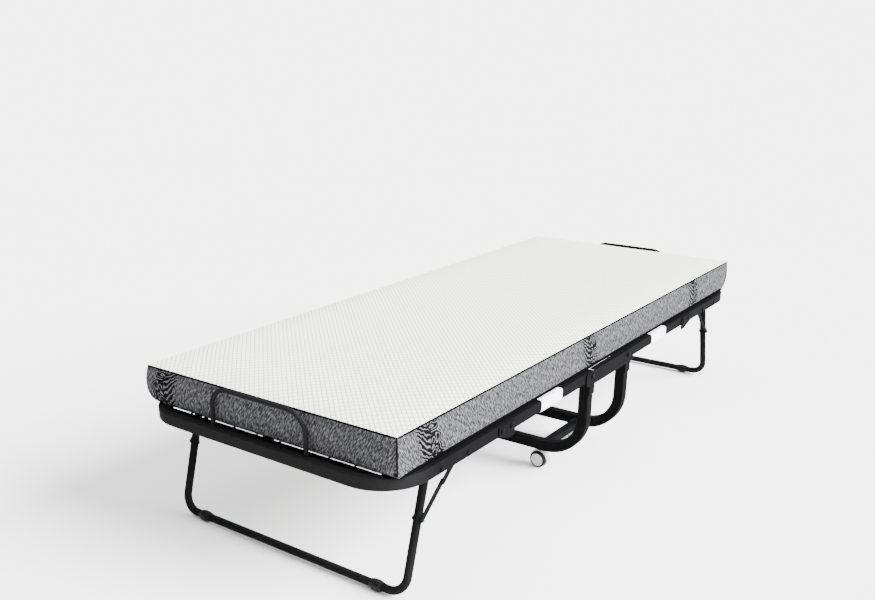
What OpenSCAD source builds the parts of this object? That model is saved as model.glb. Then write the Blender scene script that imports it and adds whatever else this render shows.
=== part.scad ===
// Rollaway bed: two sprung-wire decks hinged on a low base with four casters,
// a folding leg frame at each outer end, and a mattress that folds with the decks.
// +X runs to the head end, +Y to the far side, +Z up; the floor is z = 0.

/* [Deck frame] */
// Length of the open bed frame
deck_l = 1900; // [1700:10:2200]
// Width of the deck frame
deck_w = 760; // [640:10:1000]
// Width of the rail tube, seen from above
rail_w = 22; // [18:1:28]
// Height of the rail tube
rail_h = 28; // [24:1:34]
// Wall of the rail tube
rail_wall = 1.5; // [1.2:0.1:2.5]
// Rounding along the edges of every square tube
edge_r = 2.5; // [1.8:0.1:3]
// Height of the top of the rails above the floor
rail_top = 307; // [290:1:330]
// Bend radius of the deck's outer corners, at the tube's middle
corner_r = 104; // [60:1:150]
// Distance from the middle of the bed to the joint between end frame and side rail
splice_x = 536; // [480:1:600]

/* [Deck hinge] */
// Distance between the two deck hinge lines
hinge_span = 220; // [200:1:260]
// Thickness of the link plates
plate_t = 3; // [2:0.5:5]
// Length of a link plate past each hinge line
plate_past = 32; // [26:1:40]
// Depth of a link plate below the hinge line
plate_down = 24; // [17:1:28]
// Width of the lip along the top of a link plate
plate_lip = 14; // [8:1:15]
// Gap between a rail and its link plate
plate_gap = 0.6; // [0.4:0.1:1.5]
// Length of the tongue that a link plate reaches down each base upright
plate_tongue = 26; // [15:1:50]
// Radius of the deck hinge bolts
hinge_bolt_r = 5; // [4:0.5:6]
// Length of the end of a side rail past its hinge line
rail_past = 8; // [7:0.5:10]

/* [Base] */
// Side of the square base tube
base_tube = 28; // [24:1:32]
// Bend radius of a base hoop, at the tube's middle
base_bend_r = 105; // [80:1:130]
// Height of the middle of a base hoop's bottom bar
base_bar_z = 67; // [66:1:90]
// Height of the section of a base tie
tie_h = 20; // [15:1:26]
// Width of the section of a base tie
tie_w = 25; // [15:1:30]

/* [Casters] */
// Distance of a caster stem in from the outside of the deck frame
caster_inset = 127; // [124:1:180]
// Wheel radius
wheel_r = 23; // [20:1:23]
// Width of one of the two wheels
wheel_w = 12; // [8:1:14]
// Gap between the two wheels of a caster
wheel_gap = 12; // [10:1:16]
// Distance from the stem's axis to the axle
trail = 12; // [6:1:14]
// Radius of the stem
stem_r = 5; // [4:0.5:6]
// Radius of the axle
axle_r = 3; // [2.5:0.5:4]
// Radius of the pale hub inside a tyre
hub_r = 18; // [14:1:18]

/* [Legs] */
// Distance of a leg hinge from the middle of the bed
leg_hinge_x = 790; // [740:1:820]
// Height of the leg hinge above the lower face of the rail
leg_hinge_up = 9; // [8:0.5:10]
// Outer radius of the leg tube
leg_r = 9.5; // [9:0.5:11]
// Wall of the leg tube
leg_wall = 1.5; // [1.2:0.1:2.5]
// Distance by which an open leg's foot stands out past its hinge
leg_splay = 80; // [40:1:100]
// Bend radius of a leg frame, at the tube's middle
leg_bend_r = 42; // [40:1:90]
// Length of the leg tube past its hinge
leg_past = 11; // [9:1:13]
// Largest radius of a foot sleeve
sleeve_r = 13; // [12.5:0.5:14]
// Length of a foot sleeve
sleeve_l = 32; // [30:1:80]
// Gap between a foot sleeve and the start of the leg frame's bend
sleeve_gap = 16; // [0.5:0.5:60]

/* [Leg braces] */
// Distance from the leg hinge to the brace pin on the leg
brace_on_leg = 116; // [110:1:120]
// Distance from the leg hinge to the brace pin on the rail
brace_on_rail = 100; // [96:1:104]
// Width of a brace strip
brace_w = 13; // [10:1:13]
// Thickness of a brace strip
brace_t = 2.5; // [2:0.5:3]
// Gap between neighbouring layers of rail, braces and leg
layer_gap = 0.5; // [0.4:0.1:1]
// Radius of the leg hinge bolts and brace pins
pin_r = 4; // [3:0.5:4]

/* [Deck surface] */
// Spacing of the wires
wire_pitch = 70; // [50:1:90]
// Radius of a wire
wire_r = 2; // [1.5:0.5:2]
// Width of the flat strip that the wires end on, along the end bar
end_strip_w = 14; // [8:1:24]
// Width of a crossbar
bar_w = 18; // [14:1:22]
// Thickness of a crossbar
bar_t = 4; // [3:0.5:4]
// Distance from the middle of the bed to the outer one of the two middle crossbars
outer_bar_x = 574; // [560:1:620]
// Distance from the middle of the bed to the inner one of the two middle crossbars
inner_bar_x = 498; // [480:1:504]
// Distance from the middle of the bed to the crossbar by the hinge
hinge_bar_x = 150; // [140:1:170]
// Width of the lengthwise flat bar
spine_w = 30; // [20:1:40]

/* [Mattress] */
// Thickness of the mattress
mattress_t = 92; // [60:1:93]
// Length of the mattress
mattress_l = 1840; // [1600:10:1840]
// Width of the mattress
mattress_w = 730; // [600:10:900]
// Height of the mattress above the rails
mattress_lift = 2; // [1.5:0.5:4]
// Thickness of the elastic straps
strap_t = 1.2; // [0.8:0.1:1.4]
// Distance from the middle of the bed to the middle of a strap
strap_x = 324; // [280:1:360]
// Width of a strap along the rail
strap_w = 106; // [40:1:120]
// Distance that a strap runs in from the outside of the rail
strap_reach = 84; // [60:1:110]

/* [Retainer loops] */
// Radius of the loop's round bar
loop_bar_r = 5; // [4:0.5:5.5]
// Half the width of a loop, at the bar's middle
loop_half_w = 139; // [90:1:220]
// Height of a loop above the rail
loop_h = 98; // [50:1:100]
// Bend radius of a loop, at the bar's middle
loop_bend_r = 50; // [30:1:70]
// Distance from the end bar's middle to each loop: inwards at the foot end, outwards at the head
loop_shift = 6; // [6:0.5:6]

/* [Fits] */
// Radial clearance of a pin or stem that turns in its hole
running_fit = 0.08; // [0.04:0.01:0.1]
// Radial clearance of a bolt or sleeve that stays put
loose_fit = 0.1; // [0.05:0.05:0.3]

/* [Hidden] */
$fn = 64;

black = [0.09, 0.09, 0.10];
white = [0.92, 0.92, 0.90];
grey = [0.50, 0.50, 0.51];

half_l = deck_l / 2;
half_w = deck_w / 2;
caster_y = half_w - caster_inset;
rail_z = rail_top - rail_h / 2;
rail_bottom = rail_top - rail_h;
rail_inner_y = half_w - rail_w;
hinge_x = hinge_span / 2;
splice_gap = 1;

// The base hoops stand in the rails' own plane, just under the swing of their ends.
base_half_w = half_w + plate_gap;
rail_swing = sqrt(pow(rail_past, 2) + pow(rail_h / 2, 2));
swing_gap = 1.4;
plate_corner_r = 9;
hoop_top = rail_z - rail_swing - swing_gap;
bar_bottom = base_bar_z - base_tube / 2;

// Layers from the rail in to the leg: upper brace, lower brace, leg tube.
upper_brace_y = rail_inner_y - layer_gap - brace_t / 2;
lower_brace_y = upper_brace_y - brace_t - layer_gap;
leg_outer_y = lower_brace_y - brace_t / 2 - layer_gap;
leg_y = leg_outer_y - leg_r;
leg_inner_y = leg_y - leg_r;
sleeve_y = leg_y - leg_bend_r - sleeve_gap - sleeve_l / 2;

// The open leg leans out by leg_lean and its foot bar lies on its sleeves.
leg_hinge_z = rail_bottom + leg_hinge_up;
leg_drop = leg_hinge_z - sleeve_r;
leg_len = sqrt(pow(leg_drop, 2) + pow(leg_splay, 2));
leg_lean = atan2(leg_splay, leg_drop);

// Brace pins, in the plane of the leg's swing, from the leg hinge: x towards the middle.
leg_pin = [-brace_on_leg * sin(leg_lean), -brace_on_leg * cos(leg_lean)];
rail_pin = [brace_on_rail, 0];
brace_span = norm(rail_pin - leg_pin);
brace_angle = atan2(rail_pin.y - leg_pin.y, rail_pin.x - leg_pin.x);
// Straight when open, and lapped along the leg when it is folded flat on the rail.
lower_brace_l = (brace_span + (brace_on_leg - brace_on_rail)) / 2;
upper_brace_l = brace_span - lower_brace_l;

bar_top = rail_top;
cross_wire_z = bar_top - wire_r;
wire_lap = 0.4;
long_wire_z = cross_wire_z - 2 * wire_r + wire_lap;
spine_t = 3;
outer_wires = [869, 799, 725, 652];
inner_wires = [440, 376, 305, 230];
end_bar_inner_x = half_l - rail_w;
end_bar_x = half_l - rail_w / 2;
// The end strip stops inside the frame's bent corners.
end_strip_half_l = half_w - rail_w / 2 - corner_r / 2;

mattress_z = rail_top + mattress_lift;
fold_half_l = hinge_x + 2;
soft_gap = 1;

// Bolts, nuts and rivets.
bolt_head_h = 4;
bolt_head_r = 8;
small_head_h = 3.5;
small_head_r = 7;
small_bolt_tip = 4;
nut_gap = 0.4;
nut_h = 7;
nut_af = 17;
bolt_tip = 2;
shoulder_r = 7;
leg_nut_h = 3;
rivet_h = 0.3;
rivet_lip = 1.5;
rivet_tail = 1.5;

// Side rail end plugs and splice brackets.
plug_in = 22;
plug_nose = 4;
plug_curve = rail_h * 0.4;
bracket_t = 3;
bracket_half_l = 34;
bracket_drop = 12;
splice_bolt_x = 20;

// Casters, from the floor up: wheels, hood, stem and socket.
socket_wall = 3;
socket_up = 18;
socket_flange = 2.5;
socket_lip = 2;
hood_top = bar_bottom - socket_flange - 1;
collar_r = 10;
collar_h = 24;
neck_r = 5;
stem_in_hood = 8;
stem_top_gap = 2;
tyre_bevel = 3;
hub_set_back = 0.5;
hub_dish = 1;
fender_drop = 4;
hood_floor_gap = 6;
axle_end_gap = 0.5;
hub_cap = 1.5;
axle_half_l = wheel_gap / 2 + wheel_w - hub_set_back - hub_cap - axle_end_gap;
hood_wall = 2.5;
hood_gap = 1;
hood_r = wheel_r + hood_gap + hood_wall;
hood_web_gap = 1;
fender_lap = 4;
overshoot = 1;
strap_gap = 0.2;
strap_edge = 2;

// ---- Shared shapes ----

// Rectangle with exact quarter-round corners, centred.
module rounded_rect(w, h, r) {
    square([w - 2 * r, h], center = true);
    square([w, h - 2 * r], center = true);
    for (x = [-1, 1], y = [-1, 1])
        translate([x * (w / 2 - r), y * (h / 2 - r)]) circle(r = r);
}

// Section of a rectangular tube.
module box_section(w, h, wall) {
    difference() {
        rounded_rect(w, h, edge_r);
        square([w - 2 * wall, h - 2 * wall], center = true);
    }
}

module rail_section() {
    box_section(rail_w, rail_h, rail_wall);
}

module base_section() {
    box_section(base_tube, base_tube, rail_wall);
}

module round_section(r, wall) {
    difference() {
        circle(r = r);
        circle(r = r - wall);
    }
}

// U of tube in the XY plane: its bar lies along Y at x = 0 and its arms run to x = reach.
module hoop(half_span, reach, radius) {
    rotate([90, 0, 0]) linear_extrude(2 * (half_span - radius), center = true) children();
    for (side = [-1, 1])
        translate([radius, side * half_span, 0]) rotate([90, 0, 90])
            linear_extrude(reach - radius) children();
    translate([radius, half_span - radius, 0]) rotate(90)
        rotate_extrude(angle = 90) translate([radius, 0]) children();
    translate([radius, radius - half_span, 0]) rotate(180)
        rotate_extrude(angle = 90) translate([radius, 0]) children();
}

// Round bar or hole along Y, from y0 to y1.
module rod_y(r, y0, y1) {
    translate([0, y0, 0]) rotate([-90, 0, 0]) cylinder(r = r, h = y1 - y0);
}

// Bolt along +Y with a low bevelled head outside y = 0.
module bolt_y(r, length, head_r = bolt_head_r, head_h = bolt_head_h) {
    rod_y(r, 0, length);
    rotate([90, 0, 0]) cylinder(r = head_r, h = head_h / 2);
    translate([0, -head_h / 2, 0]) rotate([90, 0, 0])
        cylinder(r1 = head_r, r2 = head_r * 0.6, h = head_h / 2);
}

// Flat strip with round ends, from the origin along +X, centred on y = 0.
module strip(length, w, t) {
    rotate([90, 0, 0]) linear_extrude(t, center = true) {
        translate([0, -w / 2]) square([length, w]);
        for (x = [0, length]) translate([x, 0]) circle(d = w);
    }
}

module both_sides() {
    children();
    mirror([0, 1, 0]) children();
}

module far_side() {
    mirror([0, 1, 0]) children();
}

module head_end() {
    mirror([1, 0, 0]) children();
}

// ---- Base ----

// Hoop with its stem sockets' holes in the underside of its bottom bar.
module base_hoop() {
    color(black) difference() {
        translate([-hinge_x, 0, base_bar_z]) rotate([0, -90, 0])
            hoop(base_half_w - base_tube / 2, hoop_top - base_bar_z, base_bend_r) base_section();
        for (side = [-1, 1])
            translate([-hinge_x, side * caster_y, bar_bottom - overshoot])
                cylinder(r = stem_r + socket_wall + loose_fit, h = rail_wall + 2 * overshoot);
    }
}

module base_tie() {
    color(black) translate([0, -caster_y, base_bar_z]) rotate([90, 0, 90])
        linear_extrude(hinge_span - base_tube, center = true) box_section(tie_w, tie_h, rail_wall);
}

// Link plate: a bar with rounded corners, a tongue down each upright, and a lip along
// its top that carries on the line of the rails between the swings of their ends.
module link_plate() {
    plate_h = rail_h / 2 + plate_down;
    lip_half_l = hinge_x - rail_swing - swing_gap;
    color(black) translate([0, -base_half_w - plate_t / 2, rail_z]) difference() {
        union() {
            translate([0, 0, rail_h / 2 - plate_h / 2]) rotate([90, 0, 0])
                linear_extrude(plate_t, center = true)
                    rounded_rect(hinge_span + 2 * plate_past, plate_h, plate_corner_r);
            for (x = [-hinge_x, hinge_x])
                translate([x - base_tube / 2, -plate_t / 2, -plate_down - plate_tongue])
                    cube([base_tube, plate_t, plate_down + plate_tongue]);
            translate([-lip_half_l, -plate_t / 2, rail_h / 2 - plate_t])
                cube([2 * lip_half_l, plate_t + plate_lip, plate_t]);
        }
        for (x = [-hinge_x, hinge_x]) translate([x, 0, 0])
            rod_y(hinge_bolt_r + loose_fit, -plate_t, plate_t);
    }
}

module deck_hinge_bolts() {
    color(black) both_sides()
        for (x = [-hinge_x, hinge_x]) translate([x, -base_half_w - plate_t, rail_z])
            bolt_y(hinge_bolt_r, plate_t + plate_gap + rail_w + nut_gap + nut_h + bolt_tip);
}

module deck_hinge_nuts() {
    color(black) both_sides()
        for (x = [-hinge_x, hinge_x]) translate([x, 0, rail_z]) difference() {
            translate([0, -rail_inner_y + nut_gap, 0]) rotate([-90, 0, 0])
                cylinder(d = nut_af / cos(30), h = nut_h, $fn = 6);
            rod_y(hinge_bolt_r + loose_fit, -half_w, 0);
        }
}

// Sleeve pressed up into a hoop's bottom bar, which a caster stem turns in.
module caster_socket() {
    difference() {
        union() {
            translate([0, 0, bar_bottom - socket_flange])
                cylinder(r = stem_r + socket_wall + socket_lip, h = socket_flange);
            translate([0, 0, bar_bottom - socket_flange])
                cylinder(r = stem_r + socket_wall, h = socket_flange + socket_up);
        }
        translate([0, 0, bar_bottom - socket_flange - overshoot])
            cylinder(r = stem_r + running_fit, h = socket_flange + socket_up + 2 * overshoot);
    }
}

module caster_sockets() {
    color(black) for (x = [-hinge_x, hinge_x], y = [-caster_y, caster_y])
        translate([x, y, 0]) caster_socket();
}

// ---- Casters, each modelled at its stem's axis with its axle along X ----

// Steel stem and steel axle.
module caster_pins() {
    color(grey) {
        translate([0, 0, hood_top - stem_in_hood])
            cylinder(r = stem_r, h = bar_bottom + socket_up - stem_top_gap - hood_top + stem_in_hood);
        translate([-axle_half_l, trail, wheel_r]) rotate([0, 90, 0])
            cylinder(r = axle_r, h = 2 * axle_half_l);
    }
}

// Web between the wheels, collar round the stem, and a fender over the wheels' inner edges.
module caster_hood() {
    web_w = wheel_gap - 2 * hood_web_gap;
    fender_w = wheel_gap + 2 * fender_lap;
    color(white) difference() {
        union() {
            translate([-web_w / 2, trail, wheel_r]) rotate([0, 90, 0])
                cylinder(r = hood_r - hood_wall / 2, h = web_w);
            translate([0, 0, wheel_r]) cylinder(r = neck_r, h = hood_top - wheel_r);
            difference() {
                translate([-fender_w / 2, trail, wheel_r]) rotate([0, 90, 0])
                    cylinder(r = hood_r, h = fender_w);
                translate([-fender_w / 2 - overshoot, trail, wheel_r]) rotate([0, 90, 0])
                    cylinder(r = hood_r - hood_wall, h = fender_w + 2 * overshoot);
                translate([-fender_w, trail - 2 * hood_r, -hood_r])
                    cube([2 * fender_w, 4 * hood_r, hood_r + wheel_r + fender_drop]);
            }
            translate([0, 0, hood_top - collar_h]) cylinder(r = collar_r, h = collar_h);
        }
        // Wheel wells, so the collar stays clear of the tyres.
        for (side = [-1, 1])
            translate([side * (wheel_gap / 2 + wheel_w / 2), trail, wheel_r]) rotate([0, 90, 0])
                cylinder(r = wheel_r + hood_gap, h = wheel_w + 2 * hood_web_gap, center = true);
        translate([-fender_w, -4 * hood_r, -2 * hood_r])
            cube([2 * fender_w, 8 * hood_r, 2 * hood_r + hood_floor_gap]);
        translate([-fender_w, trail, wheel_r]) rotate([0, 90, 0])
            cylinder(r = axle_r + loose_fit, h = 2 * fender_w);
        translate([0, 0, hood_top - stem_in_hood])
            cylinder(r = stem_r + loose_fit, h = stem_in_hood + overshoot);
    }
}

// Both tyres: rings with a bevel on the outer shoulder.
module caster_tyres() {
    color(black) for (side = [0, 1]) mirror([side, 0, 0])
        translate([wheel_gap / 2, trail, wheel_r]) rotate([0, 90, 0]) difference() {
            union() {
                cylinder(r = wheel_r, h = wheel_w - tyre_bevel);
                translate([0, 0, wheel_w - tyre_bevel])
                    cylinder(r1 = wheel_r, r2 = wheel_r - tyre_bevel, h = tyre_bevel);
            }
            translate([0, 0, -overshoot]) cylinder(r = hub_r, h = wheel_w + 2 * overshoot);
        }
}

// Both hubs: discs on the axle with a shallow dished face.
module caster_hubs() {
    color(white) for (side = [0, 1]) mirror([side, 0, 0])
        translate([wheel_gap / 2, trail, wheel_r]) rotate([0, 90, 0]) difference() {
            cylinder(r = hub_r, h = wheel_w - hub_set_back);
            translate([0, 0, wheel_w - hub_set_back - hub_dish])
                cylinder(r1 = hub_r * 0.7, r2 = hub_r * 0.85, h = hub_dish + overshoot);
            translate([0, 0, -overshoot])
                cylinder(r = axle_r + running_fit, h = wheel_w - hub_set_back - hub_cap + overshoot);
        }
}

module at_caster(x_side, y_side) {
    translate([x_side * hinge_x, y_side * caster_y, 0]) children();
}

// ---- One deck, modelled at the foot end ----

// Holes through the rail for the leg hinge bolt and the brace pin, on the near side.
module leg_bolt_holes() {
    for (x = [0, brace_on_rail])
        translate([x - leg_hinge_x, 0, leg_hinge_z])
            rod_y(pin_r + loose_fit, -half_w - overshoot, -rail_inner_y + overshoot);
}

// Holes for the splice bolts, on the near side.
module splice_holes() {
    for (x = [-splice_bolt_x, splice_bolt_x])
        translate([x - splice_x, 0, rail_z])
            rod_y(pin_r + loose_fit, -half_w - overshoot, -rail_inner_y + overshoot);
}

module end_frame() {
    color(black) difference() {
        translate([-end_bar_x, 0, rail_z])
            hoop(half_w - rail_w / 2, end_bar_x - splice_x, corner_r) rail_section();
        both_sides() {
            leg_bolt_holes();
            splice_holes();
        }
    }
}

// Straight tube from the splice to just past the hinge line.
module side_rail() {
    rail_l = splice_x - splice_gap - hinge_x + rail_past;
    color(black) difference() {
        translate([-splice_x + splice_gap, -half_w + rail_w / 2, rail_z]) rotate([90, 0, 90])
            linear_extrude(rail_l) rail_section();
        translate([-hinge_x, 0, rail_z])
            rod_y(hinge_bolt_r + running_fit, -half_w - overshoot, -rail_inner_y + overshoot);
        splice_holes();
    }
}

// Plug in the hinge end of a side rail, with a rounded nose.
module rail_plug() {
    plug_w = rail_w - 2 * (rail_wall + loose_fit);
    plug_h = rail_h - 2 * (rail_wall + loose_fit);
    translate([-hinge_x + rail_past, -half_w + rail_w / 2, rail_z]) difference() {
        union() {
            translate([-plug_in, -plug_w / 2, -plug_h / 2]) cube([plug_in, plug_w, plug_h]);
            intersection() {
                translate([0, -rail_w / 2, -rail_h / 2]) cube([plug_nose, rail_w, rail_h]);
                translate([-plug_curve, 0, 0]) rotate([90, 0, 0])
                    cylinder(r = plug_curve + plug_nose, h = rail_w, center = true);
            }
        }
        translate([-rail_past, 0, 0]) rod_y(hinge_bolt_r + running_fit, -rail_w, rail_w);
    }
}

module rail_plugs() {
    color(black) both_sides() rail_plug();
}

// Plate over the joint between end frame and side rail, with a tab that hangs below.
module splice_bracket() {
    difference() {
        translate([-splice_x, -half_w, rail_z]) rotate([90, 0, 0]) linear_extrude(bracket_t)
            polygon([
                [-bracket_half_l, rail_h / 2 - edge_r],
                [bracket_half_l, rail_h / 2 - edge_r],
                [bracket_half_l, -rail_h / 2 - bracket_drop],
                [bracket_half_l / 3, -rail_h / 2 - bracket_drop],
                [-bracket_half_l, edge_r - rail_h / 2]]);
        translate([0, -bracket_t, 0]) splice_holes();
    }
}

module splice_brackets() {
    color(black) both_sides() splice_bracket();
}

// Splice bolts, shouldered leg hinge bolts and flush brace pins.
module deck_bolts() {
    color(black) both_sides() {
        for (x = [-splice_bolt_x, splice_bolt_x])
            translate([x - splice_x, -half_w - bracket_t, rail_z])
                bolt_y(pin_r, bracket_t + rail_w + small_bolt_tip, small_head_r, small_head_h);
        translate([-leg_hinge_x, 0, leg_hinge_z]) {
            translate([0, -half_w, 0])
                bolt_y(pin_r, half_w - leg_inner_y + leg_nut_h, small_head_r, small_head_h);
            rod_y(shoulder_r, -rail_inner_y, -leg_outer_y - layer_gap / 2);
            rod_y(shoulder_r, -leg_inner_y + layer_gap, -leg_inner_y + leg_nut_h);
        }
        translate([brace_on_rail - leg_hinge_x, -half_w, leg_hinge_z])
            bolt_y(pin_r, rail_w + layer_gap + brace_t, small_head_r, small_head_h);
    }
}

// Flat bar across the deck between the rails.
module crossbar(x) {
    translate([-x - bar_w / 2, -rail_inner_y, bar_top - bar_t])
        cube([bar_w, 2 * rail_inner_y, bar_t]);
}

module middle_crossbars() {
    color(black) for (x = [outer_bar_x, inner_bar_x]) crossbar(x);
}

module hinge_crossbar() {
    color(black) crossbar(hinge_bar_x);
}

// Lengthwise flat bar under the crossbars: one length in each wire panel.
module spine_bar() {
    color(black) {
        translate([-end_bar_inner_x, -spine_w / 2, bar_top - bar_t - spine_t])
            cube([end_bar_inner_x - outer_bar_x + bar_w / 2, spine_w, spine_t]);
        translate([-inner_bar_x - bar_w / 2, -spine_w / 2, bar_top - bar_t - spine_t])
            cube([inner_bar_x - hinge_bar_x + bar_w, spine_w, spine_t]);
    }
}

// Lengthwise wires from x0 to x1 and crosswise wires at each x in rows.
module wire_panel(x0, x1, rows) {
    for (y = [wire_pitch / 2 : wire_pitch : rail_inner_y - wire_pitch / 3], side = [-1, 1])
        translate([-x0, side * y, long_wire_z]) rotate([0, 90, 0])
            cylinder(r = wire_r, h = x0 - x1, $fn = 8);
    for (x = rows)
        translate([-x, 0, cross_wire_z]) rotate([90, 0, 0])
            cylinder(r = wire_r, h = 2 * rail_inner_y, center = true, $fn = 8);
}

// Both panels of wire, and the end strip, all flush with the end frame's bends.
module wire_mesh() {
    color(black) {
        difference() {
            union() {
                wire_panel(end_bar_inner_x, outer_bar_x + bar_w / 2, outer_wires);
                translate([-end_bar_inner_x, -end_strip_half_l, bar_top - bar_t])
                    cube([end_strip_w, 2 * end_strip_half_l, bar_t]);
            }
            translate([-end_bar_x, 0, rail_z])
                hoop(half_w - rail_w / 2, end_bar_x - splice_x, corner_r)
                    square([rail_w, rail_h], center = true);
        }
        wire_panel(inner_bar_x - bar_w / 2, hinge_bar_x + bar_w / 2, inner_wires);
    }
}

// Loop standing on the end bar, which keeps the mattress from sliding off; the two loops
// stand at different distances, so they pass one over the other when the bed is folded.
module retainer_loop(shift) {
    color(black) translate([-end_bar_x - shift, 0, rail_top + loop_h - loop_bar_r]) rotate([0, 90, 0])
        hoop(loop_half_w, loop_h - loop_bar_r, loop_bend_r) circle(r = loop_bar_r);
}

// Outline of a strap's band round the rail, tapering to its inner end: x is outwards.
module strap_outline(grow) {
    out_y = half_w + strap_gap + grow;
    in_y = half_w - strap_reach - grow;
    low_z = rail_bottom - strap_gap - grow;
    high_z = rail_top + strap_gap + grow;
    polygon([
        [out_y, high_z],
        [out_y, low_z],
        [rail_inner_y, low_z],
        [in_y, rail_top - strap_edge - grow],
        [in_y, high_z]]);
}

module elastic_straps() {
    color(white) both_sides()
        translate([-strap_x - strap_w / 2, 0, 0]) mirror([0, 1, 0]) rotate([90, 0, 90])
            linear_extrude(strap_w) difference() {
                strap_outline(strap_t);
                strap_outline(0);
            }
}

module mattress_half() {
    color(white) translate([-mattress_l / 2, -mattress_w / 2, mattress_z])
        cube([mattress_l / 2 - fold_half_l, mattress_w, mattress_t]);
}

// The stretch of mattress over the link plates, which bends when the bed folds.
module mattress_fold() {
    color(white) translate([soft_gap - fold_half_l, -mattress_w / 2, mattress_z])
        cube([2 * (fold_half_l - soft_gap), mattress_w, mattress_t]);
}

// ---- One leg, modelled open at the foot end ----

module at_leg_hinge() {
    translate([-leg_hinge_x, 0, leg_hinge_z]) children();
}

module leg_frame() {
    color(black) difference() {
        at_leg_hinge() rotate([0, leg_lean - 90, 0]) translate([-leg_len, 0, 0])
            hoop(leg_y, leg_len + leg_past, leg_bend_r) round_section(leg_r, leg_wall);
        both_sides() at_leg_hinge() {
            rod_y(pin_r + running_fit, -leg_outer_y - overshoot, -leg_inner_y + overshoot);
            translate([leg_pin.x, 0, leg_pin.y])
                rod_y(pin_r + running_fit, -leg_outer_y - overshoot, -leg_inner_y + overshoot);
        }
    }
}

// Barrel-shaped sleeves that the foot bar stands on.
module leg_sleeves() {
    color(black) both_sides()
        translate([-leg_hinge_x - leg_splay, -sleeve_y, sleeve_r]) rotate([90, 0, 0])
            rotate_extrude() {
                polygon([
                    [leg_r + loose_fit, -sleeve_l / 2],
                    [leg_r + 1.2, -sleeve_l / 2],
                    [sleeve_r, -sleeve_l / 5],
                    [sleeve_r, sleeve_l / 5],
                    [leg_r + 1.2, sleeve_l / 2],
                    [leg_r + loose_fit, sleeve_l / 2]]);
            }
}

// Strip from the pin on the leg up to the middle pin; the pin on the leg is riveted to it.
module lower_braces() {
    color(black) both_sides() at_leg_hinge() translate([leg_pin.x, 0, leg_pin.y]) {
        translate([0, -lower_brace_y, 0]) rotate([0, -brace_angle, 0])
            strip(lower_brace_l, brace_w, brace_t);
        rod_y(pin_r, -lower_brace_y, -leg_inner_y + layer_gap + rivet_tail);
        rod_y(pin_r + rivet_lip, -lower_brace_y - brace_t / 2 - rivet_lip, -lower_brace_y);
        rod_y(pin_r + rivet_lip, -leg_inner_y + layer_gap, -leg_inner_y + layer_gap + rivet_tail);
    }
}

// Strip from the pin on the rail down to the middle pin, which shows as a low rivet.
module upper_braces() {
    color(black) both_sides() at_leg_hinge() translate([rail_pin.x, 0, rail_pin.y])
        rotate([0, -brace_angle, 0]) {
            difference() {
                translate([-upper_brace_l, -upper_brace_y, 0]) strip(upper_brace_l, brace_w, brace_t);
                rod_y(pin_r + running_fit, -half_w, 0);
            }
            translate([-upper_brace_l, 0, 0])
                rod_y(pin_r + rivet_lip, -upper_brace_y - brace_t / 2 - rivet_h, -upper_brace_y);
        }
}

base_hoop();  // base_hoop_foot
head_end() base_hoop();  // base_hoop_head
base_tie();  // base_tie_near
far_side() base_tie();  // base_tie_far
link_plate();  // link_plate_near
far_side() link_plate();  // link_plate_far
deck_hinge_bolts();
deck_hinge_nuts();
caster_sockets();
mattress_fold();

end_frame();  // foot_end_frame
side_rail();  // foot_rail_near
far_side() side_rail();  // foot_rail_far
rail_plugs();  // foot_rail_plugs
splice_brackets();  // foot_splice_brackets
deck_bolts();  // foot_deck_bolts
middle_crossbars();  // foot_middle_crossbars
hinge_crossbar();  // foot_hinge_crossbar
spine_bar();  // foot_spine_bar
wire_mesh();  // foot_wire_mesh
retainer_loop(-loop_shift);  // foot_retainer_loop
elastic_straps();  // foot_elastic_straps
mattress_half();  // foot_mattress
leg_frame();  // foot_leg_frame
leg_sleeves();  // foot_leg_sleeves
lower_braces();  // foot_lower_braces
upper_braces();  // foot_upper_braces

head_end() end_frame();  // head_end_frame
head_end() side_rail();  // head_rail_near
head_end() far_side() side_rail();  // head_rail_far
head_end() rail_plugs();  // head_rail_plugs
head_end() splice_brackets();  // head_splice_brackets
head_end() deck_bolts();  // head_deck_bolts
head_end() middle_crossbars();  // head_middle_crossbars
head_end() hinge_crossbar();  // head_hinge_crossbar
head_end() spine_bar();  // head_spine_bar
head_end() wire_mesh();  // head_wire_mesh
head_end() retainer_loop(loop_shift);  // head_retainer_loop
head_end() elastic_straps();  // head_elastic_straps
head_end() mattress_half();  // head_mattress
head_end() leg_frame();  // head_leg_frame
head_end() leg_sleeves();  // head_leg_sleeves
head_end() lower_braces();  // head_lower_braces
head_end() upper_braces();  // head_upper_braces

at_caster(-1, -1) caster_pins();  // caster_foot_near_pins
at_caster(-1, -1) caster_hood();  // caster_foot_near_hood
at_caster(-1, -1) caster_tyres();  // caster_foot_near_tyres
at_caster(-1, -1) caster_hubs();  // caster_foot_near_hubs
at_caster(-1, 1) caster_pins();  // caster_foot_far_pins
at_caster(-1, 1) caster_hood();  // caster_foot_far_hood
at_caster(-1, 1) caster_tyres();  // caster_foot_far_tyres
at_caster(-1, 1) caster_hubs();  // caster_foot_far_hubs
at_caster(1, -1) caster_pins();  // caster_head_near_pins
at_caster(1, -1) caster_hood();  // caster_head_near_hood
at_caster(1, -1) caster_tyres();  // caster_head_near_tyres
at_caster(1, -1) caster_hubs();  // caster_head_near_hubs
at_caster(1, 1) caster_pins();  // caster_head_far_pins
at_caster(1, 1) caster_hood();  // caster_head_far_hood
at_caster(1, 1) caster_tyres();  // caster_head_far_tyres
at_caster(1, 1) caster_hubs();  // caster_head_far_hubs
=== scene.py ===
"""Looks for a folding rollaway bed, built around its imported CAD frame: metres, +X to the head end, +Y far, +Z up."""

import math

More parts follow.
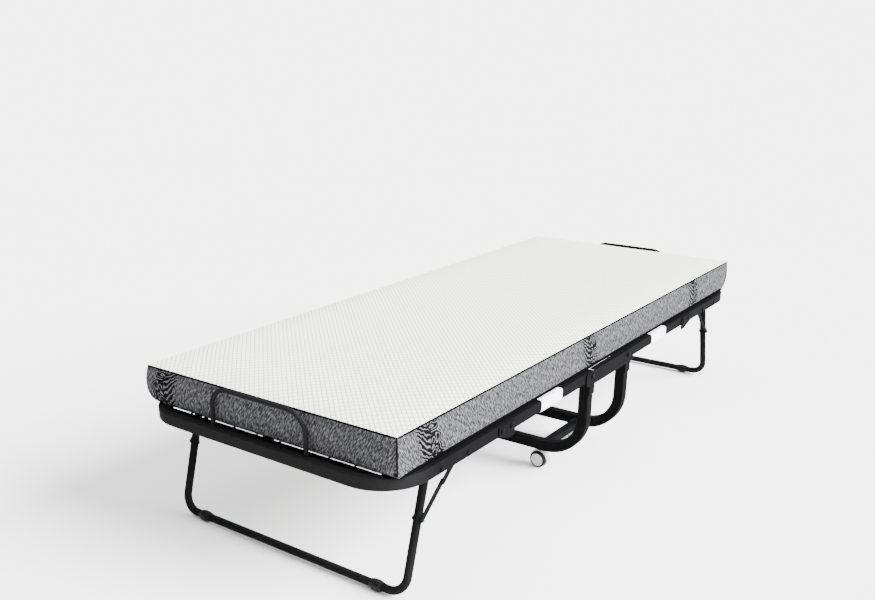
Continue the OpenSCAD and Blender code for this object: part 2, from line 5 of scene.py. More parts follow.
import bpy
import numpy as np
from mathutils import Euler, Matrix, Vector


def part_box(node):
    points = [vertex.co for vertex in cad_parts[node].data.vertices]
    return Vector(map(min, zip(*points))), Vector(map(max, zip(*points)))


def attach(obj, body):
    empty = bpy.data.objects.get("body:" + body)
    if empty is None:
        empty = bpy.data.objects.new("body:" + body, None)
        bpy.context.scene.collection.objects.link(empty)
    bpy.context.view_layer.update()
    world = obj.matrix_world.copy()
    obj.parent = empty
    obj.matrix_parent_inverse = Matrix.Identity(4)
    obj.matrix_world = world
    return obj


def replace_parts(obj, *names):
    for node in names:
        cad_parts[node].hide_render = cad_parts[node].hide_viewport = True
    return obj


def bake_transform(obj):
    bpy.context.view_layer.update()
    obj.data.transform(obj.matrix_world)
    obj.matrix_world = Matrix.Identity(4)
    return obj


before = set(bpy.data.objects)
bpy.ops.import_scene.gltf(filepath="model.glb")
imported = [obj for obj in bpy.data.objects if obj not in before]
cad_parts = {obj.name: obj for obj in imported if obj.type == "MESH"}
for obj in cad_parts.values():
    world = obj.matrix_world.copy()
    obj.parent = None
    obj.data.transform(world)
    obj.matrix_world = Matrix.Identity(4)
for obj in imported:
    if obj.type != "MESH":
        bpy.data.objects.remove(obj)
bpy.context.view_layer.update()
END_SIGN = {"foot": -1.0, "head": 1.0}
foot_low, foot_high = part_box("foot_mattress")
HALF_L = abs(foot_low[0])
HALF_W = abs(foot_low[1])
FLOOR_Z = foot_low[2]
TOP_Z = foot_high[2]


# ---- Shader helpers ----


class Value:
    """A shader socket: arithmetic on it adds Math nodes."""

    def __init__(self, finish, socket):
        self.finish = finish
        self.socket = socket

    def math(self, operation, *others):
        return self.finish.node("ShaderNodeMath", {"operation": operation}, [self, *others])

    def __add__(self, other):
        return self.math("ADD", other)

    __radd__ = __add__

    def __mul__(self, other):
        return self.math("MULTIPLY", other)

    __rmul__ = __mul__

    def __sub__(self, other):
        return self.math("SUBTRACT", other)

    def __rsub__(self, other):
        return self.finish.node("ShaderNodeMath", {"operation": "SUBTRACT"}, [other, self])

    def __truediv__(self, other):
        return self.math("DIVIDE", other)

    def smooth(self, low, high):
        """0 below low, 1 above high, and a smooth step between."""
        return self.finish.node("ShaderNodeMapRange", {"interpolation_type": "SMOOTHSTEP"}, [self, low, high, 0.0, 1.0])


class Nodes:
    """A node tree and the shader in it that the other nodes feed."""

    def __init__(self, owner, shader, constants):
        owner.use_nodes = True
        self.tree = owner.node_tree
        self.shader = self.tree.nodes[shader]
        for socket, value in constants.items():
            self.set(socket.replace("_", " "), value)

    def set(self, socket, value):
        """Feeds one of the shader's sockets, with a constant or a link."""
        self.feed(self.shader.inputs[socket], value)

    def feed(self, socket, value):
        if isinstance(value, Value):
            self.tree.links.new(value.socket, socket)
        elif value is not None:
            if isinstance(value, tuple) and len(value) == 3 and socket.type == "RGBA":
                value = (*value, 1.0)
            socket.default_value = value

    def node(self, kind, settings=None, inputs=(), output=0):
        """Any node: its settings first, then its inputs by position or name; gives the named output."""
        node = self.tree.nodes.new(kind)
        for key, value in (settings or {}).items():
            if key == "stops":
                ramp = node.color_ramp
                while len(ramp.elements) < len(value):
                    ramp.elements.new(0.5)
                for element, (position, colour) in zip(ramp.elements, value):
                    element.position = position
                    element.color = (*colour, 1.0)
            else:
                setattr(node, key, value)
        pairs = inputs.items() if isinstance(inputs, dict) else enumerate(inputs)
        for key, value in pairs:
            self.feed(node.inputs[key], value)
        return Value(self, node.outputs[output])

    def place(self):
        """Object coordinates, in metres."""
        return self.node("ShaderNodeTexCoord", output="Object")

    def cloth_place(self):
        """The piece's own UV map, in metres along and up the cloth."""
        return self.node("ShaderNodeUVMap", {"uv_map": "cloth"})

    def split(self, vector):
        first = self.node("ShaderNodeSeparateXYZ", inputs=[vector])
        return [Value(self, first.socket.node.outputs[k]) for k in range(3)]

    def join(self, x, y, z=0.0):
        return self.node("ShaderNodeCombineXYZ", inputs=[x, y, z])

    def noise(self, vector, scale, detail=2.0, roughness=0.5):
        return self.node("ShaderNodeTexNoise", inputs={
            "Vector": vector, "Scale": scale, "Detail": detail, "Roughness": roughness})

    def mix(self, factor, a, b, blend="MIX"):
        settings = {"data_type": "RGBA", "blend_type": blend}
        return self.node("ShaderNodeMix", settings, {0: factor, 6: a, 7: b}, output=2)

    def bump(self, height, strength, distance, normal=None):
        under = {"Normal": normal} if normal else {}
        return self.node("ShaderNodeBump", inputs={
            "Strength": strength, "Distance": distance, "Height": height, **under})


class Finish(Nodes):
    """One material: a Principled shader and the nodes that feed it."""

    def __init__(self, name, **constants):
        self.material = bpy.data.materials.new(name)
        super().__init__(self.material, "Principled BSDF", constants)


def powder_coat():
    """Black powder coat: orange-peel bump about 1 mm across, a slow drift in gloss and tone, and painted light that
    makes the coat lighter towards both bed ends.
    """
    f = Finish("powder_coat_black", Specular_IOR_Level=0.002)
    place = f.place()
    drift = f.noise(place, 9.0, 3.0)
    peel = f.noise(place, 850.0, 2.0)
    x, _, _ = f.split(place)
    # Painted light: the same coat is made lighter beyond 0.8 m from the middle, so the bed ends look as bright as the
    # lit long rails.
    ends = x.math("ABSOLUTE").smooth(0.80, 0.90)
    tone = f.mix(drift, (0.0034, 0.0034, 0.0036), (0.0050, 0.0050, 0.0053))
    f.set("Base Color", f.mix(ends * 0.65, tone, (0.0125, 0.0125, 0.0130)))
    f.set("Roughness", 0.40 + drift * 0.14 + peel * 0.05)
    f.set("Normal", f.bump(peel, 0.22, 0.0004))
    return f.material


def black_wire_coat():
    """Dipped coat on thin wires: a little glossier, with sags along it."""
    f = Finish("wire_coat_black", Specular_IOR_Level=0.004)
    place = f.place()
    sag = f.noise(place, 120.0, 2.0)
    f.set("Base Color", f.mix(sag, (0.002, 0.002, 0.002), (0.004, 0.004, 0.004)))
    f.set("Roughness", 0.30 + sag * 0.16)
    f.set("Normal", f.bump(sag, 0.2, 0.0005))
    return f.material


def moulded_plastic(name, dark, light, rough, grain, gloss):
    """Moulded plastic: fine spark-eroded grain and faint flow marks."""
    f = Finish(name, Specular_IOR_Level=gloss)
    place = f.place()
    flow = f.noise(place, 30.0, 3.0, 0.6)
    fine = f.noise(place, grain, 1.0)
    f.set("Base Color", f.mix(flow, dark, light))
    f.set("Roughness", rough + flow * 0.08 + fine * 0.06)
    f.set("Normal", f.bump(fine, 0.18, 0.0002))
    return f.material


def bolt_finish():
    """Blackened steel with worn, brighter scuffs."""
    f = Finish("bolt_black_oxide", Specular_IOR_Level=0.01)
    place = f.place()
    wear = f.noise(place, 260.0, 4.0, 0.65).smooth(0.56, 0.72)
    f.set("Base Color", f.mix(wear, (0.0024, 0.0024, 0.0026), (0.010, 0.010, 0.011)))
    f.set("Metallic", wear * 0.15)
    f.set("Roughness", 0.44 - wear * 0.12)
    f.set("Normal", f.bump(wear, 0.15, 0.0002))
    return f.material


def zinc_pin():
    """Bright zinc on the caster stems and axles."""
    f = Finish("caster_zinc")
    place = f.place()
    spangle = f.noise(place, 300.0, 3.0)
    f.set("Base Color", f.mix(spangle, (0.46, 0.47, 0.48), (0.62, 0.62, 0.61)))
    f.set("Metallic", 0.9 + spangle * 0.1)
    f.set("Roughness", 0.26 + spangle * 0.16)
    return f.material


def diamond_knit():
    """White mattress top: slanted oblongs of 10 by 19 mm with sunk lines between them, darkened with painted shade,
    over fine knit loops.
    """
    f = Finish("mattress_top_knit", Specular_IOR_Level=0.1)
    x, y, _ = f.split(f.cloth_place())
    soft = f.noise(f.cloth_place(), 22.0, 2.0)
    wobble = (soft - 0.5) * 0.35
    turn = math.pi / math.sqrt(2.0)
    first = ((x + y) * (turn / 0.0190) + wobble).math("SINE").math("ABSOLUTE")
    second = ((x - y) * (turn / 0.0102) + wobble).math("SINE").math("ABSOLUTE")
    pad = first.math("MINIMUM", second)
    # Painted shade: this mask darkens the sunk lines between the oblongs towards a grey of 0.30 in the base colour
    # below.
    groove_shade = (1.0 - first.smooth(0.02, 0.42)).math("MAXIMUM", 1.0 - second.smooth(0.04, 0.66))
    loops = (x * 2600.0).math("SINE") * (y * 2100.0).math("SINE")
    fuzz = f.noise(f.cloth_place(), 900.0, 2.0)
    tone = f.mix(groove_shade * 0.85, (0.870, 0.875, 0.835), (0.300, 0.310, 0.270))
    tone = f.mix(fuzz * 0.12, tone, (0.70, 0.70, 0.66))
    f.set("Base Color", tone)
    f.set("Roughness", 0.82 + fuzz * 0.12)
    coarse = f.bump(pad.smooth(0.0, 0.75), 0.35, 0.0008)
    f.set("Normal", f.bump(loops * 0.5 + fuzz, 0.22, 0.0003, coarse))
    return f.material


def heather_side():
    """Grey space-dyed band: slanted streaks of light and dark yarn, a feather motif woven in every 712 mm,
    and a dark seam down the two near corners."""
    f = Finish("mattress_side_heather", Specular_IOR_Level=0.02)
    along, up, _ = f.split(f.cloth_place())
    lean = math.radians(60.0)
    across = along * math.sin(lean) + up * math.cos(lean)
    down = up * math.sin(lean) - along * math.cos(lean)
    streak = f.noise(f.join(across * 660.0, down * 98.0), 1.0, 2.0, 0.55)
    dash = f.noise(f.join(across * 300.0, down * 46.0, 7.0), 1.0, 1.0)
    speck = f.noise(f.join(along * 1000.0, up * 1000.0), 1.0, 1.0)
    yarn = (streak * 0.58 + dash * 0.26 + speck * 0.16).smooth(0.41, 0.60)
    tone = f.node("ShaderNodeValToRGB", {"stops": [
        (0.0, (0.010, 0.010, 0.011)), (0.5, (0.040, 0.040, 0.042)), (1.0, (0.112, 0.112, 0.117))]}, [yarn])
    # Motif: a slanted black band, flecked on one side with curved barbs and on the other with scrolls.
    period, first, half = 0.712, 0.113, 0.037
    slant = along + (up - 0.349) * 0.35 - first
    local = (slant / period + 0.5).math("FRACT") * period - period * 0.5
    ragged = f.noise(f.join(along * 90.0, up * 90.0), 1.0, 2.0) - 0.5
    inside = 1.0 - (local + ragged * 0.020).math("ABSOLUTE").smooth(half - 0.002, half + 0.001)
    reach = (local + (up * 80.0).math("SINE") * 0.005).math("ABSOLUTE")
    barbs = (up * 450.0 - reach * 420.0 + (reach * 75.0).math("SINE") * 2.2 + ragged * 9.0).math("SINE")
    swirl = f.noise(f.join(along * 48.0, up * 48.0), 1.0, 0.0)
    rings = (swirl * 42.0).math("SINE")
    scrolls = (local + ragged * 0.012).smooth(0.004, 0.010)
    flecks = (barbs * (1.0 - scrolls) + rings * scrolls - (streak - 0.5) * 1.2).smooth(0.32, 0.80)
    ink = 1.0 - flecks * reach.smooth(0.0010, 0.0030)
    ground = f.mix(inside * 0.8, tone, (0.105, 0.105, 0.110))
    x, y, _ = f.split(f.place())
    corner = (HALF_L - x.math("ABSOLUTE")).math("MAXIMUM", y + HALF_W)
    dark = (inside * ink).math("MAXIMUM", 1.0 - corner.smooth(0.0012, 0.0028))
    f.set("Base Color", f.mix(dark, ground, (0.0022, 0.0022, 0.0026)))
    f.set("Roughness", 0.80 + yarn * 0.14)
    woven = f.bump(yarn + speck * 0.3, 0.5, 0.0006)
    f.set("Normal", f.bump(inside * ink, 0.3, 0.0006, woven))
    return f.material


def plain_underside():
    """Off-white backing cloth with a fine plain weave."""
    f = Finish("mattress_back_cloth", Specular_IOR_Level=0.2)
    x, y, _ = f.split(f.cloth_place())
    weave = (x * 3000.0).math("SINE") * (y * 3000.0).math("SINE")
    cloud = f.noise(f.cloth_place(), 30.0, 3.0)
    f.set("Base Color", f.mix(cloud, (0.74, 0.745, 0.72), (0.84, 0.845, 0.82)))
    f.set("Roughness", 0.84 + cloud * 0.1)
    f.set("Normal", f.bump(weave + cloud, 0.3, 0.0004))
    return f.material


def piping_cloth():
    """Dark seam piping with a fine twist."""
    f = Finish("seam_piping", Specular_IOR_Level=0.002)
    place = f.place()
    x, y, z = f.split(place)
    twist = ((x + y + z * 1.5) * 1700.0).math("SINE")
    fuzz = f.noise(place, 500.0, 2.0)
    f.set("Base Color", f.mix(fuzz, (0.0008, 0.0008, 0.0010), (0.0022, 0.0022, 0.0026)))
    f.set("Roughness", 0.7 + fuzz * 0.2)
    f.set("Normal", f.bump(twist * 0.5 + fuzz, 0.4, 0.0004))
    return f.material


def ribbed_elastic():
    """White elastic webbing: ribs along its stretch every 2.4 mm, crossed by fine cords."""
    f = Finish("strap_elastic", Specular_IOR_Level=0.3, Sheen_Weight=0.1)
    along, around, _ = f.split(f.cloth_place())
    rib = (along * (2.0 * math.pi / 0.0024)).math("SINE")
    cord = (around * (2.0 * math.pi / 0.0013)).math("SINE")
    fuzz = f.noise(f.cloth_place(), 400.0, 2.0)
    tone = f.mix(rib * 0.5 + 0.5, (0.74, 0.74, 0.73), (0.86, 0.86, 0.85))
    f.set("Base Color", f.mix(fuzz * 0.15, tone, (0.62, 0.62, 0.61)))
    f.set("Roughness", 0.74 + fuzz * 0.15)
    f.set("Normal", f.bump(rib + cord * 0.35 + fuzz * 0.5, 0.35, 0.0004))
    return f.material


COAT = powder_coat()
WIRE_COAT = black_wire_coat()
BLACK_PLASTIC = moulded_plastic("plastic_black", (0.003, 0.003, 0.003), (0.005, 0.005, 0.005), 0.42, 1400.0, 0.12)
PALE_PLASTIC = moulded_plastic("plastic_pale_grey", (0.36, 0.365, 0.37), (0.42, 0.425, 0.43), 0.26, 1100.0, 0.5)
TYRE = moulded_plastic("tyre_black", (0.002, 0.002, 0.002), (0.004, 0.004, 0.004), 0.55, 900.0, 0.08)
BOLTS = bolt_finish()
ZINC = zinc_pin()
TOP_KNIT = diamond_knit()
SIDE_KNIT = heather_side()
BACK_CLOTH = plain_underside()
PIPING = piping_cloth()
ELASTIC = ribbed_elastic()

# ---- Finishes on the CAD's own pieces ----

CAD_FINISHES = [
    ("wire_mesh", WIRE_COAT), ("bolts", BOLTS), ("nuts", BOLTS), ("pins", ZINC), ("hood", PALE_PLASTIC),
    ("tyres", TYRE), ("hubs", PALE_PLASTIC), ("plugs", BLACK_PLASTIC), ("sleeves", BLACK_PLASTIC),
    ("sockets", BLACK_PLASTIC), ("", COAT)]
for name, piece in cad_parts.items():
    finish = next(material for ending, material in CAD_FINISHES if name.endswith(ending))
    piece.data.materials.clear()
    piece.data.materials.append(finish)


# ---- Mesh helpers ----


def mesh_piece(name, points, quads, materials, fan=(), panel=None, cloth=None):
    """A mesh object from an n x 3 array of points, an m x 4 array of quads and a k x 3 array of fan triangles;
    panel gives each face's material, and cloth gives each face corner's place on the cloth."""
    mesh = bpy.data.meshes.new(name)
    mesh.from_pydata(points, [], np.asarray(quads).tolist() + np.asarray(fan, dtype=int).tolist())
    for material in materials:
        mesh.materials.append(material)
    mesh.shade_smooth()
    if panel is not None:
        mesh.polygons.foreach_set("material_index", np.asarray(panel, dtype=np.int32))
    if cloth is not None:
        layer = mesh.uv_layers.new(name="cloth")
        layer.uv.foreach_set("vector", np.asarray(cloth, dtype=np.float32).ravel())
    mesh.update()
    piece = bpy.data.objects.new(name, mesh)
    bpy.context.collection.objects.link(piece)
    return piece


def apply_modifiers(piece):
    """Bakes the piece's modifiers into its mesh."""
    graph = bpy.context.evaluated_depsgraph_get()
    graph.update()
    mesh = bpy.data.meshes.new_from_object(piece.evaluated_get(graph))
    piece.modifiers.clear()
    piece.data = mesh
    return mesh


def vertices_of(mesh):
    flat = np.empty(len(mesh.vertices) * 3, dtype=np.float64)
    mesh.vertices.foreach_get("co", flat)
    return flat.reshape(-1, 3)


# ---- Mattress ----

# How far each side rounds under at its foot, and swells at mid height.
UNDER_R = {"foot": 0.013, "head": 0.030, "near": 0.004, "far": 0.032}
BELLY = {"foot": 0.001, "head": 0.011, "near": 0.001, "far": 0.011}
# How far the under piping lies inside the top's outline on each side.
TUCKED = {"foot": 0.010, "head": 0.024, "near": 0.0005, "far": 0.024}
SEAM_R = 0.0022
SEAM_CORNER_R = 0.007
TUBE_SIDES = 8
MOTIF_SHIFT = 0.561
SWELL_CAP = 0.007
TOP_PANEL, SIDE_PANEL, BACK_PANEL = 0, 1, 2
MATTRESS_CLOTHS = [TOP_KNIT, SIDE_KNIT, BACK_CLOTH]


def graded(half, step, fine):
    """Places from -half to half: fine steps near both ends, even steps between, always with one at 0."""
    inner = half - sum(fine)
    count = int(math.ceil(inner / step))
    middle = np.linspace(-inner, inner, 2 * count + 1)
    ends = -half + np.cumsum([0.0, *fine[:-1]])
    return np.concatenate([ends, middle, -ends[::-1]])


def turned_in(side, rise):
    """How far a side lies in at a height above the mattress's back: its under radius less the circle's half chord,
    and less a belly that is a half sine wave over the height, widest at the middle."""
    radius = UNDER_R[side]
    above = np.clip(radius - rise, 0.0, radius)
    belly = BELLY[side] * np.sin(np.pi * rise / (TOP_Z - FLOOR_Z))
    return radius - np.sqrt(radius**2 - above**2) - belly


def mattress_shell():
    """Closed shell on a lattice: a top sheet, rings down the sides, and a back sheet.
    A ring is the rectangle of the side planes, each moved in by its own turned_in, mitred at the corners."""
    step, edge_steps = 0.0145, [0.003, 0.007, 0.011]
    xs = graded(HALF_L, step, edge_steps)
    ys = graded(HALF_W, step, edge_steps)
    nx, ny = len(xs), len(ys)
    thick = TOP_Z - FLOOR_Z
    rises = np.array([thick, thick - 0.003, thick - 0.009, thick - 0.018, 0.064, 0.054, 0.043,
                      0.032, 0.022, 0.013, 0.0065, 0.002, 0.0])
    grid_x, grid_y = np.meshgrid(xs, ys, indexing="ij")
    top = np.stack([grid_x, grid_y, np.full_like(grid_x, TOP_Z)], axis=-1).reshape(-1, 3)
    sheet = np.arange(nx * ny).reshape(nx, ny)
    ring = np.concatenate([sheet[:-1, 0], sheet[-1, :-1], sheet[:0:-1, -1], sheet[0, :0:-1]])

    def pulled_in(flat, rise):
        """flat with each half scaled so that its outer side lies where turned_in puts that side."""
        ends = np.where(flat[:, 0] < 0, turned_in("foot", rise), turned_in("head", rise))
        sides = np.where(flat[:, 1] < 0, turned_in("near", rise), turned_in("far", rise))
        return flat * np.column_stack([(HALF_L - ends) / HALF_L, (HALF_W - sides) / HALF_W])

    rings = [np.column_stack([pulled_in(top[ring, :2], rise), np.full(len(ring), FLOOR_Z + rise)])
             for rise in rises[1:-1]]
    back = np.column_stack([pulled_in(top[:, :2], 0.0), np.full(nx * ny, FLOOR_Z)])
    points = np.concatenate([top, *rings, back])
    count = len(ring)
    back_start = nx * ny + count * len(rings)
    loops = [ring] + [nx * ny + count * k + np.arange(count) for k in range(len(rings))] + [back_start + ring]
    cell = np.stack([sheet[:-1, :-1], sheet[1:, :-1], sheet[1:, 1:], sheet[:-1, 1:]], axis=-1).reshape(-1, 4)
    # Along the sides the cloth is measured from the near foot corner; each end's strip is sewn on the other way round.
    edge_l = np.linalg.norm(top[np.roll(ring, -1), :2] - top[ring, :2], axis=1)
    start = np.concatenate([[0.0], np.cumsum(edge_l)[:-1]])
    stop = start + edge_l
    on_end = np.abs(top[ring, 0] - top[np.roll(ring, -1), 0]) < 1e-9
    full = 4.0 * (HALF_L + HALF_W)
    start, stop = (np.where(on_end, full - MOTIF_SHIFT - edge, edge) for edge in (start, stop))
    quads, panel, cloth = [cell], [np.full(len(cell), TOP_PANEL)], [top[cell][..., :2]]
    for k in range(len(loops) - 1):
        upper, lower = loops[k], loops[k + 1]
        high = np.full(count, FLOOR_Z + rises[k])
        low = np.full(count, FLOOR_Z + rises[k + 1])
        quads.append(np.stack([upper, lower, np.roll(lower, -1), np.roll(upper, -1)], axis=-1))
        panel.append(np.full(count, SIDE_PANEL))
        corners = ((start, high), (start, low), (stop, low), (stop, high))
        cloth.append(np.stack([np.stack(pair, -1) for pair in corners], axis=1))
    quads.append((cell + back_start)[:, ::-1])
    panel.append(np.full(len(cell), BACK_PANEL))
    cloth.append(back[cell[:, ::-1]][..., :2])
    held = np.zeros(len(points), dtype=bool)
    held[ring] = True
    held[back_start - 2 * count:] = True
    return points, np.concatenate(quads), np.concatenate(panel), np.concatenate(cloth), held


def inflate(piece, held, cap, pressure=3.5, frames=20):
    """Cloth under inner pressure, pinned at its seams; no point may travel further than cap."""
    group = piece.vertex_groups.new(name="held")
    group.add(np.flatnonzero(held).tolist(), 1.0, "REPLACE")
    before = vertices_of(piece.data)
    cloth = piece.modifiers.new("stuffing", "CLOTH")
    settings = cloth.settings
    settings.quality = 5
    settings.mass = 0.3
    settings.tension_stiffness = 40.0
    settings.compression_stiffness = 40.0
    settings.shear_stiffness = 20.0
    settings.bending_stiffness = 2.0
    settings.use_pressure = True
    settings.uniform_pressure_force = pressure
    settings.vertex_group_mass = "held"
    settings.effector_weights.gravity = 0.0
    cloth.collision_settings.use_collision = False
    cloth.point_cache.frame_start = 1
    cloth.point_cache.frame_end = frames
    scene = bpy.context.scene
    for step in range(1, frames + 1):
        scene.frame_set(step)
    mesh = apply_modifiers(piece)
    after = vertices_of(mesh)
    scene.frame_set(1)
    move = after - before
    travel = np.linalg.norm(move, axis=1, keepdims=True)
    limit = cap * np.tanh(travel / cap) / np.maximum(travel, 1e-9)
    mesh.vertices.foreach_set("co", (before + move * limit).ravel())
    mesh.update()
    piece.vertex_groups.clear()


def half_of(whole, end):
    """One half of the whole mattress, cut on its middle ring of vertices and closed there by a fan."""
    sign = END_SIGN[end]
    mesh = whole.data
    points = vertices_of(mesh)
    loops = np.empty(len(mesh.loops), dtype=np.int64)
    mesh.loops.foreach_get("vertex_index", loops)
    quads = loops.reshape(-1, 4)
    panel = np.empty(len(quads), dtype=np.int32)
    mesh.polygons.foreach_get("material_index", panel)
    cloth = np.empty(len(loops) * 2, dtype=np.float32)
    mesh.uv_layers["cloth"].uv.foreach_get("vector", cloth)
    cloth = cloth.reshape(-1, 4, 2)
    keep = points[quads][..., 0].mean(axis=1) * sign > 0
    quads, panel, cloth = quads[keep], panel[keep], cloth[keep]
    used, flat = np.unique(quads, return_inverse=True)
    quads = flat.reshape(-1, 4)
    points = points[used]
    middle = np.flatnonzero(np.abs(points[:, 0]) < 1e-6)
    centre = points[middle].mean(axis=0)
    centre[0] = 0.0
    points = np.vstack([points, centre])
    points[middle, 0] = 0.0
    edges = np.concatenate([quads[:, [0, 1]], quads[:, [1, 2]], quads[:, [2, 3]], quads[:, [3, 0]]])
    cut = edges[np.isin(edges, middle).all(axis=1)]
    fan = np.column_stack([cut[:, 1], cut[:, 0], np.full(len(cut), len(points) - 1)])
    panel = np.concatenate([panel, np.full(len(fan), BACK_PANEL, dtype=np.int32)])
    cloth = np.concatenate([cloth.reshape(-1, 2), np.zeros((fan.size, 2), dtype=np.float32)])
    half = mesh_piece(f"{end}_half_mattress", points, quads, MATTRESS_CLOTHS, fan, panel, cloth)
    rim = np.empty(len(half.data.edges) * 2, dtype=np.int64)
    half.data.edges.foreach_get("vertices", rim)
    sharp = np.isin(rim.reshape(-1, 2), middle).all(axis=1)
    half.data.attributes.new("sharp_edge", "BOOLEAN", "EDGE").data.foreach_set("value", sharp)
    return half


def tube_along(name, path, radius, material):
    """Closed-ended tube: a circle of each point's own radius carried along the path, square to it, with a fan
    at both ends."""
    ahead = np.gradient(path, axis=0)
    ahead /= np.linalg.norm(ahead, axis=1, keepdims=True)
    side = np.cross(ahead, (0.0, 0.0, 1.0))
    side /= np.linalg.norm(side, axis=1, keepdims=True)
    over = np.cross(side, ahead)
    turn = np.linspace(0.0, 2.0 * np.pi, TUBE_SIDES, endpoint=False)
    circle = side[:, None, :] * np.cos(turn)[None, :, None] + over[:, None, :] * np.sin(turn)[None, :, None]
    points = (path[:, None, :] + np.reshape(radius, (-1, 1, 1)) * circle).reshape(-1, 3)
    index = np.arange(len(points)).reshape(-1, TUBE_SIDES)
    ahead_of = np.roll(index, -1, axis=1)
    quads = np.stack([index[:-1], ahead_of[:-1], ahead_of[1:], index[1:]], axis=-1).reshape(-1, 4)
    fan = np.concatenate([
        np.column_stack([ahead_of[0], index[0], np.full(TUBE_SIDES, len(points))]),
        np.column_stack([index[-1], ahead_of[-1], np.full(TUBE_SIDES, len(points) + 1)])])
    return mesh_piece(name, np.vstack([points, path[0], path[-1]]), quads, [material], fan)


def seam_path(end, height, drawn_in):
    """Along a seam of one half, round both corners with a small radius, from x = 0 back to x = 0;
    drawn_in gives how far each side of the seam lies inside the top's outline."""
    r = SEAM_CORNER_R
    turn = np.linspace(0.0, np.pi / 2.0, 7)
    straight = np.linspace(0.0, HALF_L - r, 80)
    across = np.linspace(-HALF_W + r, HALF_W - r, 40)[1:-1]
    flat = np.vstack([
        np.column_stack([straight, np.full_like(straight, -HALF_W)]),
        np.column_stack([HALF_L - r + r * np.sin(turn[1:]), -HALF_W + r - r * np.cos(turn[1:])]),
        np.column_stack([np.full_like(across, HALF_L), across]),
        np.column_stack([HALF_L - r + r * np.cos(turn), HALF_W - r + r * np.sin(turn)]),
        np.column_stack([straight[-2::-1], np.full_like(straight[1:], HALF_W)])])
    along_in = np.full(len(flat), 1.0 - drawn_in[end] / HALF_L)
    across_in = 1.0 - np.where(flat[:, 1] < 0, drawn_in["near"], drawn_in["far"]) / HALF_W
    return np.column_stack([flat[:, 0] * along_in * END_SIGN[end], flat[:, 1] * across_in, np.full(len(flat), height)])


def top_piping(end):
    """The cord sewn in along the top seam."""
    path = seam_path(end, TOP_Z - SEAM_R, dict.fromkeys(UNDER_R, 0.0))
    return tube_along(f"{end}_seam_piping", path, SEAM_R, PIPING)


def under_piping(end):
    """The thicker cord along the foot of the sides, which thins out over 30 mm before the ends."""
    thin, extra, fade, clear = 0.0022, 0.0020, 0.03, 0.012
    path = seam_path(end, FLOOR_Z, TUCKED)
    radius = thin + extra * np.clip((HALF_L - clear - np.abs(path[:, 0])) / fade, 0.0, 1.0)
    path[:, 2] += radius - extra
    return tube_along(f"{end}_under_piping", path, radius, PIPING)


def build_mattress():
    """One stuffed mattress, cut into two halves at its middle, each with its top and under piping."""
    points, quads, panel, cloth, held = mattress_shell()
    whole = mesh_piece("whole_mattress", points, quads, MATTRESS_CLOTHS, panel=panel, cloth=cloth)
    inflate(whole, held, SWELL_CAP)
    finer = whole.modifiers.new("finer", "SUBSURF")
    finer.subdivision_type = "SIMPLE"
    finer.levels = finer.render_levels = 1
    apply_modifiers(whole)
    for end, sign in END_SIGN.items():
        half = half_of(whole, end)
        for piece in (half, top_piping(end), under_piping(end)):
            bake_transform(piece)
        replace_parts(half, f"{end}_mattress")
        if end == "foot":
            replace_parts(half, "mattress_fold")
    bpy.data.objects.remove(whole)


build_mattress()


# ---- Elastic straps ----


STRAP_T = 0.0012
STRAP_REACH = 0.084
STRAP_ROUND_R = 0.0042
STRAP_CLEAR = 0.0003


def strap_path(side_out, side_in, top, bottom):
    """The strap's run in the YZ plane, as 90 even steps: out over the rail, round its two outer corners, and back
    in under it and up to the wires; gives the run and how far along it each step is."""
    r = STRAP_ROUND_R
    reach = side_out - STRAP_REACH
    arc = np.linspace(0.0, np.pi / 2.0, 6)
    outline = np.vstack([
        [[reach, top]], [[side_in, top]],
        np.column_stack([side_out - r + r * np.sin(arc), top - r + r * np.cos(arc)]),
        np.column_stack([side_out - r + r * np.cos(arc), bottom + r - r * np.sin(arc)]),
        [[side_in + 0.002, bottom]], [[side_in - 0.004, bottom + 0.0015]], [[reach, top - 0.0032]]])
    length = np.concatenate([[0.0], np.cumsum(np.linalg.norm(np.diff(outline, axis=0), axis=1))])
    even = np.linspace(0.0, length[-1], 90)
    return np.column_stack([np.interp(even, length, outline[:, k]) for k in range(2)]), even


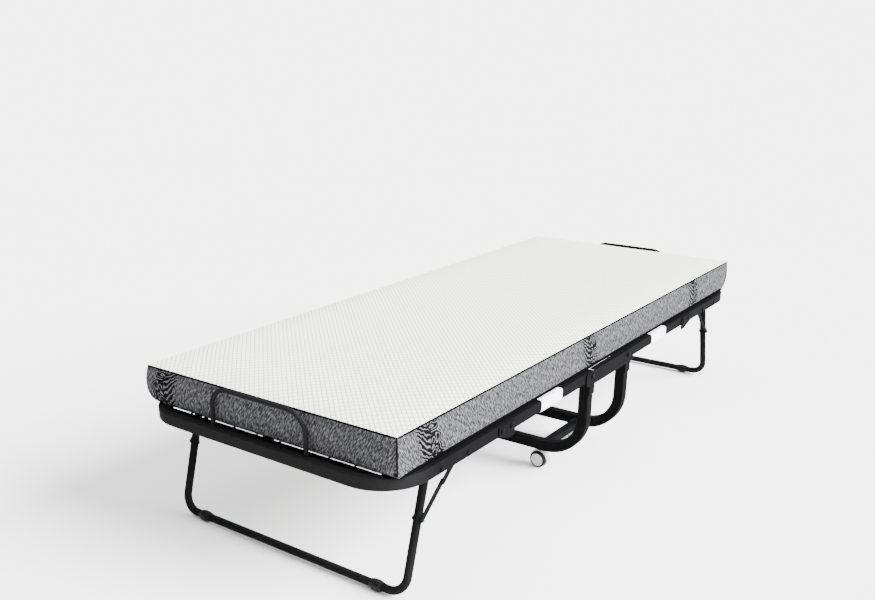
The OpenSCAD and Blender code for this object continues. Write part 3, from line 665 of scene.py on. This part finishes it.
def strap_band(end, side):
    """Webbing wrapped round the rail: strap_path carried along X, narrowed by a half sine wave of 2 % at mid
    length, rippled by 0.4 mm, with its two faces 1.2 mm apart and its edges closed."""
    low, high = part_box(f"{end}_elastic_straps")
    rail_low, rail_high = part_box(f"{end}_rail_{side}")
    rail_y = np.abs([rail_low[1], rail_high[1]])
    path, even = strap_path(rail_y.max(), rail_y.min(), rail_high[2], rail_low[2])
    ahead = np.gradient(path, axis=0)
    ahead /= np.linalg.norm(ahead, axis=1, keepdims=True)
    normal = np.column_stack([-ahead[:, 1], ahead[:, 0]])
    along = np.linspace(low[0], high[0], 46)
    ripple = 0.0004 * (1.0 + np.sin(7.0 * np.linspace(-1.0, 1.0, len(along)))[:, None] * np.sin(even * 60.0))
    pinch = 1.0 - 0.02 * np.sin(np.pi * even / even[-1])
    x = along.mean() + (along - along.mean())[:, None] * pinch
    faces = []
    for lift in (STRAP_CLEAR, STRAP_CLEAR + STRAP_T):
        away = lift + ripple
        faces.append(np.stack([x, path[:, 0] + normal[:, 0] * away, path[:, 1] + normal[:, 1] * away], axis=-1))
    points = np.concatenate(faces).reshape(-1, 3)
    inner = np.arange(x.size).reshape(x.shape)
    outer = inner + x.size

    def cells(g):
        return np.stack([g[:-1, :-1], g[1:, :-1], g[1:, 1:], g[:-1, 1:]], axis=-1).reshape(-1, 4)

    def wall(a, b):
        return np.stack([a[:-1], a[1:], b[1:], b[:-1]], axis=-1)

    quads = np.concatenate([
        cells(inner)[:, ::-1], cells(outer),
        wall(inner[:, 0], outer[:, 0]), wall(outer[:, -1], inner[:, -1]),
        wall(outer[0], inner[0]), wall(inner[-1], outer[-1])])
    if side == "near":
        points[:, 1] *= -1.0
    else:
        quads = quads[:, ::-1]
    cloth = np.stack(np.meshgrid(along, even, indexing="ij"), axis=-1).reshape(-1, 2)
    piece = mesh_piece(f"{end}_{side}_strap", points, quads, [ELASTIC], cloth=np.tile(cloth, (2, 1))[quads])
    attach(piece, f"{end}_deck")
    return piece


for end in END_SIGN:
    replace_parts(strap_band(end, "near"), f"{end}_elastic_straps")
    strap_band(end, "far")

# ---- Floor, light and camera ----


def floor_material():
    """Matt floor with a faint slow cloud in its tone."""
    f = Finish("studio_floor", Roughness=0.95, Specular_IOR_Level=0.0)
    cloud = f.noise(f.place(), 0.6, 2.0)
    f.set("Base Color", f.mix(cloud, (0.94, 0.94, 0.94), (0.96, 0.96, 0.96)))
    return f.material


def build_stage():
    """A wide pale floor, and a dome: white low down towards the head end, dim above that, bright overhead."""
    half = 80.0
    corners = np.array([[-half, -half, 0.0], [half, -half, 0.0], [half, half, 0.0], [-half, half, 0.0]])
    floor = mesh_piece("studio_floor", corners, [[0, 1, 2, 3]], [floor_material()])
    world = bpy.data.worlds.new("studio")
    dome = Nodes(world, "Background", {"Color": (1.0, 1.0, 1.0)})
    way = dome.node("ShaderNodeTexCoord", output="Generated")
    east, _, up = dome.split(way)
    overhead = up.smooth(0.60, 0.92) * 4.0
    horizon = (1.0 - up.smooth(0.06, 0.17)) * (1.2 + east.smooth(-0.35, 0.35) * 4.1)
    light = (0.12 + overhead).math("MAXIMUM", horizon)
    dome.set("Strength", light)
    bpy.context.scene.world = world


def soft_sun(name, toward, strength, spread):
    """A sun that shines from the direction toward, with soft shadows; spread is its width in degrees."""
    data = bpy.data.lights.new(name, "SUN")
    data.energy = strength
    data.angle = math.radians(spread)
    lamp = bpy.data.objects.new(name, data)
    lamp.rotation_euler = Vector(toward).to_track_quat("Z", "Y").to_euler()
    bpy.context.collection.objects.link(lamp)


def build_camera():
    """Pinhole camera: yaw from +Y towards +X and pitch down, both in degrees."""
    data = bpy.data.cameras.new("studio_camera")
    data.sensor_width = 36.0
    data.lens = 38.9
    data.shift_x = 0.0152
    data.shift_y = 0.1172
    data.clip_end = 100.0
    camera = bpy.data.objects.new("studio_camera", data)
    camera.location = (-2.2343, -1.3761, 1.1222)
    camera.rotation_euler = Euler((math.radians(90.0 - 21.39), 0.0, math.radians(-54.23)), "XYZ")
    bpy.context.collection.objects.link(camera)
    bpy.context.scene.camera = camera


build_stage()
soft_sun("key", (0.34, -0.80, 0.49), 24.0, 40.0)
build_camera()
